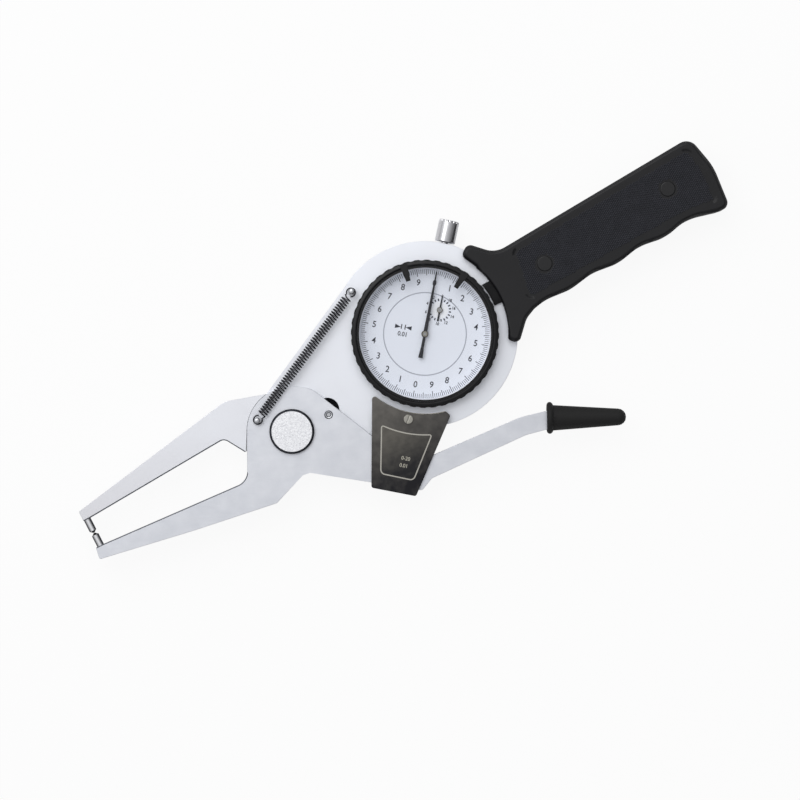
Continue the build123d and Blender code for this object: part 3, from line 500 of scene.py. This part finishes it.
# All but the middle of the top face is painted dark, a painted shade.
for face in form.faces:
    face.material_index = 0 if face is cap_top else 1
put("pivot_cap_skin", finished(form, "pivot_cap"), [cap_face, cap_painted_shade], nodes=("pivot_cap",))
washer_black = Finish("washer_black", (30, 31, 33), Roughness=0.5)
washer_black.shade(Roughness=washer_black.between(washer_black.noise(0.002), 0.4, 0.6))
dress(washer_black, "pivot_washer")

# Return spring
# Extension spring of 0.56 mm wire with 49 turns and a round loop at each end, blackened. The inside of its
# turns is painted light grey, a painted highlight. It hangs between two grooved posts and pulls the jaws
# together.
spring_level = 0.016
wire_radius = 0.00028
coil_radius = 0.00172
coil_turns = 49
steps_per_turn = 16
lower_gap, upper_gap = 0.0031, 0.0034
first_angle = math.radians(-60)
loop_shift = 0.00048
loop_steps = 18
lower_bend = (0.0027, -0.0014, 0.0005)
upper_bends = ((0.0031, 0.0002, 0.0016), (0.0025, 0.0012, 0.0007))


def post_middle(node):
    """Centre of an upright post at the spring's level."""
    low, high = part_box(node)
    return Vector(((low[0] + high[0]) / 2, (low[1] + high[1]) / 2, spring_level))


low_post = post_middle("spring_post_lower")
high_post = post_middle("spring_post_upper")
along = (high_post - low_post).normalized()
across = Vector((-along.y, along.x, 0))
span = (high_post - low_post).length
coil_start, coil_end = lower_gap, span - upper_gap


def wire_spot(distance, side, lift):
    """Point on the wire from its distance along the spring, its side step and its lift."""
    return low_post + along * distance + across * side + Vector((0, 0, lift))


def loop_spots(middle, first, last):
    """Points of a flat end loop between two angles, seen from above."""
    angles = [math.radians(first + (last - first) * step / loop_steps) for step in range(loop_steps + 1)]
    return [wire_spot(middle + coil_radius * math.cos(a), coil_radius * math.sin(a), 0) for a in angles]


def mesh_of(name, curve):
    """Mesh of a curve or of a line of text."""
    drawn = placed(name, curve)
    bpy.context.view_layer.update()
    mesh = bpy.data.meshes.new_from_object(drawn.evaluated_get(bpy.context.evaluated_depsgraph_get()))
    bpy.data.objects.remove(drawn)
    return mesh


path = loop_spots(loop_shift, 25, 325)
path.append(wire_spot(*lower_bend))
for step in range(coil_turns * steps_per_turn + 1):
    part = step / (coil_turns * steps_per_turn)
    angle = first_angle + 2 * math.pi * coil_turns * part
    path.append(wire_spot(coil_start + (coil_end - coil_start) * part, coil_radius * math.sin(angle),
                          coil_radius * math.cos(angle)))
path += [wire_spot(span - reach, side, lift) for reach, side, lift in upper_bends]
path += loop_spots(span - loop_shift, 145, -150)
wire_data = bpy.data.curves.new("return_spring", "CURVE")
wire_data.dimensions = "3D"
wire_data.bevel_depth = wire_radius
wire_data.bevel_resolution = 2
wire_data.use_fill_caps = True
line = wire_data.splines.new("POLY")
line.points.add(len(path) - 1)
for point, spot in zip(line.points, path):
    point.co = (*spot, 1)
spring_mesh = mesh_of("return_spring_path", wire_data)
spring_wire = satin("spring_wire", (52, 52, 55), rough=0.32, grain=0.0003, depth=0.000002)
spring_painted_highlight = satin("spring_painted_highlight", (150, 151, 156), rough=0.4, grain=0.0003, depth=0.000002)
for finish in (spring_wire, spring_painted_highlight):
    spring_mesh.materials.append(finish.material)
# Faces on the inside of the coil are painted light grey, a painted highlight.
for face in spring_mesh.polygons:
    spot = face.center - low_post
    reach = spot.dot(along)
    if coil_start < reach < coil_end and (spot - along * reach).length < coil_radius - wire_radius * 0.3:
        face.material_index = 1
spring_mesh.shade_smooth()
spring = placed("return_spring", spring_mesh)
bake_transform(spring)
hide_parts("spring_coil", "spring_hook_upper", "spring_hook_lower")
skin("spring_post_upper", polished, width=0.00006)
skin("spring_post_lower", polished, width=0.00006)

# Grip
# Two moulded shells of black plastic screwed on the tang, with guard horns round the ring, four finger
# hollows and a sunk side panel covered with small moulded points. Two round plugs cover the screws.
shell_black = Finish("shell_black", (20, 21, 23), Roughness=0.5, Specular_IOR_Level=0.32)
leather = shell_black.noise(0.0004, detail=3.0)
shell_black.shade(Base_Color=shell_black.tint(shell_black.noise(0.008), (17, 17, 19), (24, 24, 27)),
                  Roughness=shell_black.between(leather, 0.4, 0.56),
                  Normal=shell_black.relief(leather, depth=0.00002))
for node in ("handle_front_shell", "handle_rear_shell"):
    form = merged(node)
    if node == "handle_front_shell":
        shell_surface = BVHTree.FromBMesh(form)
    put(f"{node}_skin", finished(form, node), [shell_black], nodes=(node,), smooth=50)

panel_black = Finish("panel_black", (38, 39, 45), Roughness=0.42, Specular_IOR_Level=0.45)
panel_black.shade(Base_Color=panel_black.tint(panel_black.noise(0.004), (38, 39, 44), (52, 53, 60)),
                  Roughness=panel_black.between(panel_black.noise(0.0008), 0.36, 0.52))
point_length, point_width, point_height = 0.0013, 0.00085, 0.00028
point_share, point_sink = 0.97, 0.00001
plug_radius = 0.0030
above_grip = 0.05
panel_low, panel_high = (Vector(corner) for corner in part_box("handle_front_shell"))
plug_low, plug_high = (Vector(corner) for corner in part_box("handle_plugs"))
panel_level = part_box("handle_plugs")[1][2] - 0.00025
plug_spots = (Vector((plug_low.x + plug_radius, plug_low.y + plug_radius)),
              Vector((plug_high.x - plug_radius, plug_high.y - plug_radius)))


def on_panel(x, y):
    """True where a whole point stands on the panel's floor, clear of its edge and of the plugs."""
    if min((Vector((x, y)) - spot).length for spot in plug_spots) < plug_radius + point_length / 2:
        return False
    for side_x, side_y in ((-1, -1), (-1, 1), (1, -1), (1, 1)):
        spot = Vector((x + side_x * point_length / 2, y + side_y * point_width / 2, above_grip))
        hit = shell_surface.ray_cast(spot, Vector((0, 0, -1)))[0]
        if hit is None or abs(hit.z - panel_level) > 0.00005:
            return False
    return True


pyramid = bmesh.new()
bmesh.ops.create_cone(pyramid, cap_ends=True, segments=4, radius1=0.5, radius2=0.08, depth=1.0,
                      matrix=Matrix.Translation((0, 0, 0.5)))
pyramid.transform(Matrix.Diagonal((point_length * point_share, point_width * point_share, point_height, 1)))
pyramid_mesh = finished(pyramid, "panel_point")
rows = int((panel_high.y - panel_low.y) / (point_width / 2))
columns = int((panel_high.x - panel_low.x) / point_length)
form = bmesh.new()
for row in range(rows):
    y = panel_low.y + row * point_width / 2
    for column in range(columns):
        x = panel_low.x + (column + 0.5 * (row % 2)) * point_length
        if on_panel(x, y):
            before = len(form.verts)
            form.from_mesh(pyramid_mesh)
            form.verts.ensure_lookup_table()
            bmesh.ops.translate(form, verts=form.verts[before:], vec=(x, y, panel_level - point_sink))
bpy.data.meshes.remove(pyramid_mesh)
put("panel_points", finished(form, "panel_points"), [panel_black], "frame_body", "grip_plastic", smooth=20,
    flat=False)

plug_black = Finish("plug_black", (20, 20, 22), Roughness=0.3, Specular_IOR_Level=0.4)
plug_black.shade(Roughness=plug_black.between(plug_black.noise(0.001), 0.25, 0.36))
skin("handle_plugs", plug_black, width=0.0004, steps=3)

# Lever sleeve
# Soft black sleeve with a beaded mouth, pushed over the end of the squeeze lever.
sleeve_rubber = Finish("sleeve_rubber", (30, 30, 30), Roughness=0.7, Specular_IOR_Level=0.3)
matt = sleeve_rubber.noise(0.0004)
sleeve_rubber.shade(Roughness=sleeve_rubber.between(matt, 0.62, 0.8),
                    Normal=sleeve_rubber.relief(matt, depth=0.00002))
skin("lever_sleeve", sleeve_rubber)

# Label bracket
# Bent steel sheet, blackened and brushed, that covers the root of the lever. It is painted lighter towards
# the dial and darker towards the bottom, a painted reflection; so is the floor of the sunk window. The window
# has bare bevelled walls and carries two plain numbers; the bevel of the concave rim is painted bright, a
# painted highlight. One slotted screw holds the sheet from the front and two from behind.
black_plate = Finish("black_plate", (70, 69, 67), Metallic=0.9)
brush = black_plate.noise(0.0005, where=black_plate.mapped(math.radians(-27), stretch=(1, 10, 1)))
patches = black_plate.noise(0.004, detail=3.0)
# Lighter towards the dial and darker towards the bottom: a painted reflection.
painted_reflection = black_plate.rise(black_plate.axis("Y"), -0.050, -0.014)
black_plate.shade(Base_Color=black_plate.tint(painted_reflection * 0.9 + (patches - 0.5) * 0.7, (40, 40, 43),
                                              (116, 113, 108)),
                  Roughness=black_plate.between(brush, 0.26, 0.4),
                  Normal=black_plate.relief(brush, depth=0.00001))
bare_and_highlight_edge = satin("bare_and_highlight_edge", (196, 193, 184), rough=0.26)
window_floor = Finish("window_floor", (60, 60, 60), Metallic=0.9)
patches = window_floor.noise(0.0025, detail=3.0)
# Lighter towards the dial and darker towards the bottom: a painted reflection.
painted_reflection = window_floor.rise(window_floor.axis("Y"), -0.044, -0.030)
window_floor.shade(Base_Color=window_floor.tint(painted_reflection * 0.9 + (patches - 0.5) * 0.7, (46, 46, 48),
                                                (104, 101, 95)),
                   Roughness=window_floor.between(window_floor.noise(0.0006), 0.3, 0.42))

label_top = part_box("label_bracket")[1][2]
label_edge = 0.0002
highlight_rim_reach = 0.0315
floor_low, floor_high = label_top - 0.0006, label_top - 0.0001
window_depth = 0.0002
window_slope = 0.0007
window_round = 0.0019
window_radius = 0.0391
window_sides = (math.radians(216.4), math.radians(247.9))
window_corners = ((-0.0301, -0.0496), (-0.0409, -0.0409))
arc_steps = 10
cutter_lift, cutter_height = 0.0001, 0.001
outline = []
for step in range(arc_steps + 1):
    angle = window_sides[0] + (window_sides[1] - window_sides[0]) * step / arc_steps
    outline.append((window_radius * math.cos(angle), window_radius * math.sin(angle)))
outline += window_corners
form = bmesh.new()
corners = [form.verts.new((x, y, label_top + cutter_lift)) for x, y in outline]
form.faces.new(corners)
turns = [corners[0], corners[arc_steps], corners[-2], corners[-1]]
bmesh.ops.bevel(form, geom=turns, offset=window_round, segments=5, profile=0.5, affect="VERTICES",
                material=-1)
push(form, form.faces[:], cutter_height, keep=True)
bmesh.ops.recalc_face_normals(form, faces=form.faces)
under = min(form.faces, key=lambda face: face.calc_center_median().z)
bmesh.ops.inset_region(form, faces=[under], thickness=window_slope, depth=window_depth + cutter_lift)
cutter = placed("window_cutter", finished(form, "window_cutter"))
plate = placed("label_plate", finished(merged("label_bracket"), "label_plate"))
cut = plate.modifiers.new("window", "BOOLEAN")
cut.operation = "DIFFERENCE"
cut.solver = "EXACT"
cut.object = cutter
bpy.context.view_layer.update()
form = bmesh.new()
form.from_object(plate, bpy.context.evaluated_depsgraph_get())
bpy.data.objects.remove(plate)
bpy.data.objects.remove(cutter)
for face in form.faces:
    middle = face.calc_center_median()
    if sloping(face, 0.97):
        face.material_index = 1
    elif face.normal.z > 0.99 and floor_low < middle.z < floor_high:
        face.material_index = 2
break_edges(form, label_edge, where=lambda e: not any(face.material_index for face in e.link_faces))
# Sloping faces near the dial, the bevel of the concave rim, take the bright bare finish as a painted
# highlight.
for face in form.faces:
    spot = face.calc_center_median()
    if sloping(face) and math.hypot(spot.x, spot.y) < highlight_rim_reach:
        face.material_index = 1
put("label_bracket_skin", finished(form, "label_bracket"), [black_plate, bare_and_highlight_edge, window_floor],
    nodes=("label_bracket",), smooth=15)
bare_screw = satin("bare_screw", (170, 168, 160), rough=0.3, grain=0.0004)
skin("label_screw", bare_screw, width=0.00012)

ink_depth = 0.00003
character_width = 0.92
label_turn = math.radians(-38.2)
label_size = 0.0021
label_print = Finish("label_print", (186, 182, 168), Roughness=0.5)
label_print.shade(Roughness=label_print.between(label_print.noise(0.0008), 0.4, 0.6))


def words(form, text, size, spot, turn, level, weight=0.012):
    """Printed characters centred on a spot, with strokes made bolder by a share of their size."""
    data = bpy.data.curves.new("characters", "FONT")
    data.body = text
    data.size = size
    data.align_x, data.align_y = "CENTER", "CENTER"
    data.extrude = ink_depth / 2
    data.offset = weight * size
    data.resolution_u = 3
    mesh = mesh_of("characters", data)
    mesh.transform(Matrix.Translation((*spot, level + ink_depth / 2)) @ Matrix.Rotation(turn, 4, "Z")
                   @ Matrix.Diagonal((character_width, 1, 1, 1)))
    form.from_mesh(mesh)
    bpy.data.meshes.remove(mesh)


form = bmesh.new()
for text, spot in (("0-20", (-0.02895, -0.04005)), ("0.01", (-0.03095, -0.04215))):
    words(form, text, label_size, spot, label_turn, label_top - window_depth)
put("label_numbers", finished(form, "label_numbers"), [label_print], "frame_body", "label_metal", flat=False)

# Bezel
# Black anodised ring with 44 thumb hollows that turns on the frame and carries the scale and the glass. A
# white sloping spacer and a snap ring hold the glass.
bezel_black = Finish("bezel_black", (16, 16, 18), Roughness=0.36, Specular_IOR_Level=0.3)
bezel_black.shade(Roughness=bezel_black.between(bezel_black.noise(0.0008), 0.3, 0.42))
bezel_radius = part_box("bezel")[1][0]
hollow_start = bezel_radius - 0.0012
hollow_share = 0.55
form = merged("bezel")
for vert in form.verts:
    reach = math.hypot(vert.co.x, vert.co.y)
    if reach > hollow_start:
        wanted = bezel_radius - (bezel_radius - reach) * hollow_share
        vert.co.x *= wanted / reach
        vert.co.y *= wanted / reach
break_edges(form, width=0.0001)
put("bezel_skin", finished(form, "bezel"), [bezel_black], nodes=("bezel",))
skin("crystal_ring", bezel_black)


def turned_ring(*section):
    """Ring turned about the dial's axis from four corners, each a radius and a level."""
    form = bmesh.new()
    ring = [form.verts.new((radius, 0, level)) for radius, level in section]
    edges = [form.edges.new((ring[i], ring[(i + 1) % 4])) for i in range(4)]
    bmesh.ops.spin(form, geom=ring + edges, cent=(0, 0, 0), axis=(0, 0, 1), angle=2 * math.pi, steps=128,
                   use_merge=True)
    bmesh.ops.remove_doubles(form, verts=form.verts, dist=1e-6)
    bmesh.ops.recalc_face_normals(form, faces=form.faces)
    return form


wall_white = Finish("wall_white", (244, 246, 252), Roughness=0.5)
wall_white.shade(Roughness=wall_white.between(wall_white.noise(0.002), 0.45, 0.6))
spacer_low, spacer_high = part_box("dial_spacer_ring")
wall_outer = spacer_high[0]
wall_inner = wall_outer - 0.00085
wall_foot = wall_inner - 0.0004
form = turned_ring((wall_outer, spacer_low[2]), (wall_foot, spacer_low[2]), (wall_inner, spacer_high[2]),
                   (wall_outer, spacer_high[2]))
put("spacer_wall", finished(form, "spacer_wall"), [wall_white], nodes=("dial_spacer_ring",))

# Dial
# White enamelled scale ring with 200 printed divisions and the numbers 0 to 9 twice round, which turns with
# the bezel. Inside it lies a fixed white disc with the small counting dial and the division mark.
zero_angle = math.radians(52.2)
upright = zero_angle - math.pi / 2
print_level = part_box("scale_ring")[1][2]
division_radius, number_radius, number_size = 0.0253, 0.0202, 0.0035
long_stroke, middle_stroke, short_stroke = 0.0027, 0.0023, 0.0017
broad_stroke, thin_stroke = 0.00026, 0.0002
enamel = Finish("dial_enamel", (238, 243, 253), Roughness=0.45, Coat_Weight=0.2)
enamel.shade(Roughness=enamel.between(enamel.noise(0.0015), 0.4, 0.5))
skin("scale_ring", enamel)
skin("dial_disc", enamel)
ink = Finish("dial_ink", (36, 38, 50), Roughness=0.6, Specular_IOR_Level=0.3)
ink.shade(Roughness=ink.between(ink.noise(0.001), 0.5, 0.7))


def on_dial(spot):
    """Matrix that moves print from the origin to a spot on the dial."""
    return Matrix.Translation((*spot, print_level + ink_depth / 2))


def stroke(form, centre, radius, length, width, angle):
    """Printed radial stroke that starts at a radius and runs inwards."""
    place = on_dial(centre) @ Matrix.Rotation(angle, 4, "Z")
    place @= Matrix.Translation((radius - length / 2, 0, 0)) @ Matrix.Diagonal((length, width, ink_depth, 1))
    bmesh.ops.create_cube(form, size=1.0, matrix=place)


def around(centre, radius, angle):
    """Flat place at a radius and an angle about a centre."""
    return (centre[0] + radius * math.cos(angle), centre[1] + radius * math.sin(angle))


form = bmesh.new()
for division in range(200):
    length = long_stroke if division % 10 == 0 else middle_stroke if division % 5 == 0 else short_stroke
    width = broad_stroke if division % 5 == 0 else thin_stroke
    stroke(form, (0, 0), division_radius, length, width, zero_angle - math.radians(1.8 * division))
put("scale_strokes", finished(form, "scale_strokes"), [ink], "bezel_body", "pointer_black", flat=False)
form = bmesh.new()
for number in range(20):
    spot = around((0, 0), number_radius, zero_angle - math.radians(18 * number))
    words(form, str(number % 10), number_size, spot, upright, print_level)
put("scale_numbers", finished(form, "scale_numbers"), [ink], "bezel_body", "pointer_black", flat=False)

counter_centre = (0.0094288, 0.0056654)
field_radius, field_depth = 0.0033, 0.00001
counter_white = Finish("counter_white", (247, 250, 255), Roughness=0.5)
counter_white.shade(Roughness=counter_white.between(counter_white.noise(0.001), 0.45, 0.55))
form = bmesh.new()
bmesh.ops.create_cone(form, cap_ends=True, segments=48, radius1=field_radius, radius2=field_radius,
                      depth=field_depth,
                      matrix=Matrix.Translation((*counter_centre, print_level + field_depth / 2)))
put("counter_field", finished(form, "counter_field"), [counter_white], "frame_body", "dial_white", flat=False)

# A grey ring laid over the gap round the fixed disc: painted shade of the gap.
gap_painted_shade = Finish("gap_painted_shade", (168, 172, 184), Roughness=0.5)
gap_painted_shade.shade(Roughness=gap_painted_shade.between(gap_painted_shade.noise(0.001), 0.45, 0.6))
circle_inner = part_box("dial_disc")[1][0] - 0.0001
circle_outer = circle_inner + 0.00042
print_top = print_level + ink_depth
form = turned_ring((circle_inner, print_level), (circle_outer, print_level), (circle_outer, print_top),
                   (circle_inner, print_top))
put("disc_gap_shade", finished(form, "disc_gap_shade"), [gap_painted_shade], "frame_body", "pointer_black", flat=False)

count_radius, count_length, count_width = 0.0045, 0.0009, 0.0005
count_number_radius, count_number_size = 0.0055, 0.0016
arrow_length, arrow_width = 0.0024, 0.0017
bar_width, bar_height = 0.0004, 0.0019
mark_halves = ((-90, (-0.00834, 0.00770), (-0.00683, 0.00680)),
               (90, (-0.00434, 0.00477), (-0.00566, 0.00589)))
unit_size, unit_spot = 0.0025, (-0.00787, 0.00390)
form = bmesh.new()
for division in range(20):
    angle = zero_angle + math.radians(18 * division)
    stroke(form, counter_centre, count_radius, count_length, count_width, angle)
for number in range(10):
    spot = around(counter_centre, count_number_radius, zero_angle + math.radians(36 * number))
    words(form, str(2 * number), count_number_size, spot, upright, print_level, weight=0.03)
mark_turn = Matrix.Rotation(upright, 4, "Z")
for aim, arrow_spot, bar_spot in mark_halves:
    # A three-sided cone of radius 1 is 1.5 long and 1.732 wide.
    bmesh.ops.create_cone(form, cap_ends=True, segments=3, radius1=1.0, radius2=1.0, depth=1.0,
                          matrix=on_dial(arrow_spot) @ mark_turn
                          @ Matrix.Diagonal((arrow_length / 1.5, arrow_width / 1.732, ink_depth, 1))
                          @ Matrix.Rotation(math.radians(aim), 4, "Z"))
    bmesh.ops.create_cube(form, size=1.0, matrix=on_dial(bar_spot) @ mark_turn
                          @ Matrix.Diagonal((bar_width, bar_height, ink_depth, 1)))
words(form, "0.01", unit_size, unit_spot, upright, print_level, weight=0.02)
put("dial_marks", finished(form, "dial_marks"), [ink], "frame_body", "pointer_black", flat=False)

# Pointers
# Thin blackened pointers pressed on their arbors: a long one with a broad tail for the main scale and a short
# one that counts its turns.
pointer_black = Finish("pointer_black", (14, 15, 24), Roughness=0.4, Specular_IOR_Level=0.12)
pointer_black.shade(Roughness=pointer_black.between(pointer_black.noise(0.001), 0.34, 0.48))
hub_grey = satin("hub_grey", (142, 139, 128), rough=0.3)
hub_brass = satin("hub_brass", (206, 200, 172), rough=0.3)
hub_rim = 0.00025


def pointer(node, middle, halves, thickness, hub_radius, hub_height, hub_sink, bore, finishes):
    """Pointer cut from thin sheet, from its half widths at places along it, with a turned hub on top."""
    top_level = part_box(node)[1][2]
    sheet_level = top_level - hub_height + hub_sink
    form = bmesh.new()
    outline = [*halves] + [(reach, -half) for reach, half in reversed(halves)]
    blade = form.faces.new([form.verts.new((reach, half, sheet_level)) for reach, half in outline])
    push(form, [blade], thickness, keep=True)
    bmesh.ops.recalc_face_normals(form, faces=form.faces)
    before = set(form.faces)
    bmesh.ops.create_cone(form, cap_ends=True, segments=40, radius1=hub_radius, radius2=hub_radius,
                          depth=hub_height, matrix=Matrix.Translation((0, 0, top_level - hub_height / 2)))
    top = max(set(form.faces) - before, key=lambda face: face.calc_center_median().z)
    for wide, index in ((hub_rim, 1), (hub_radius - hub_rim - bore, 2)):
        rims = bmesh.ops.inset_region(form, faces=[top], thickness=wide, depth=0.0)["faces"]
        top.material_index = index
        for rim in rims:
            rim.material_index = index - 1
    form.transform(Matrix.Translation((*middle, 0)) @ Matrix.Rotation(zero_angle, 4, "Z"))
    put(f"{node}_skin", finished(form, node), finishes, nodes=(node,))


pointer("main_pointer", (0, 0), halves=((0.0246, 0.00024), (0.0160, 0.00048), (0.0011, 0.00075),
                                        (-0.0011, 0.00055), (-0.0055, 0.0006), (-0.0096, 0.0009)),
        thickness=0.0003, hub_radius=0.00132, hub_height=0.0011, hub_sink=0.0003, bore=0.0005,
        finishes=[pointer_black, hub_grey, gear_steel])
pointer("counter_pointer", counter_centre, halves=((0.0056, 0.0002), (0.0008, 0.00032), (-0.0008, 0.0003),
                                                   (-0.0043, 0.00036)),
        thickness=0.00025, hub_radius=0.00115, hub_height=0.00055, hub_sink=0.0001, bore=0.0004,
        finishes=[pointer_black, hub_brass, pointer_black])

# Limit hands
# Two black spring clips that slide round the bezel rim and mark the limits of a size.
skin("limit_hand_left", bezel_black, width=0.00006)
skin("limit_hand_right", bezel_black, width=0.00006)

# Clamp knob
# Turned and chrome plated knob with a fluted end, on a screw that locks the bezel.
knob_chrome = satin("knob_chrome", (218, 218, 221), rough=0.24, grain=0.0003, depth=0.000002)
skin("clamp_knob", knob_chrome, width=0.00008)

# Glass
# Flat round dial glass that lies on the spacer, under the snap ring.
glass = Finish("dial_glass", (246, 249, 255), Roughness=0.04, Alpha=0.02, Specular_IOR_Level=0.15)
glass.shade(Roughness=glass.between(glass.noise(0.01), 0.03, 0.06))
skin("crystal", glass)
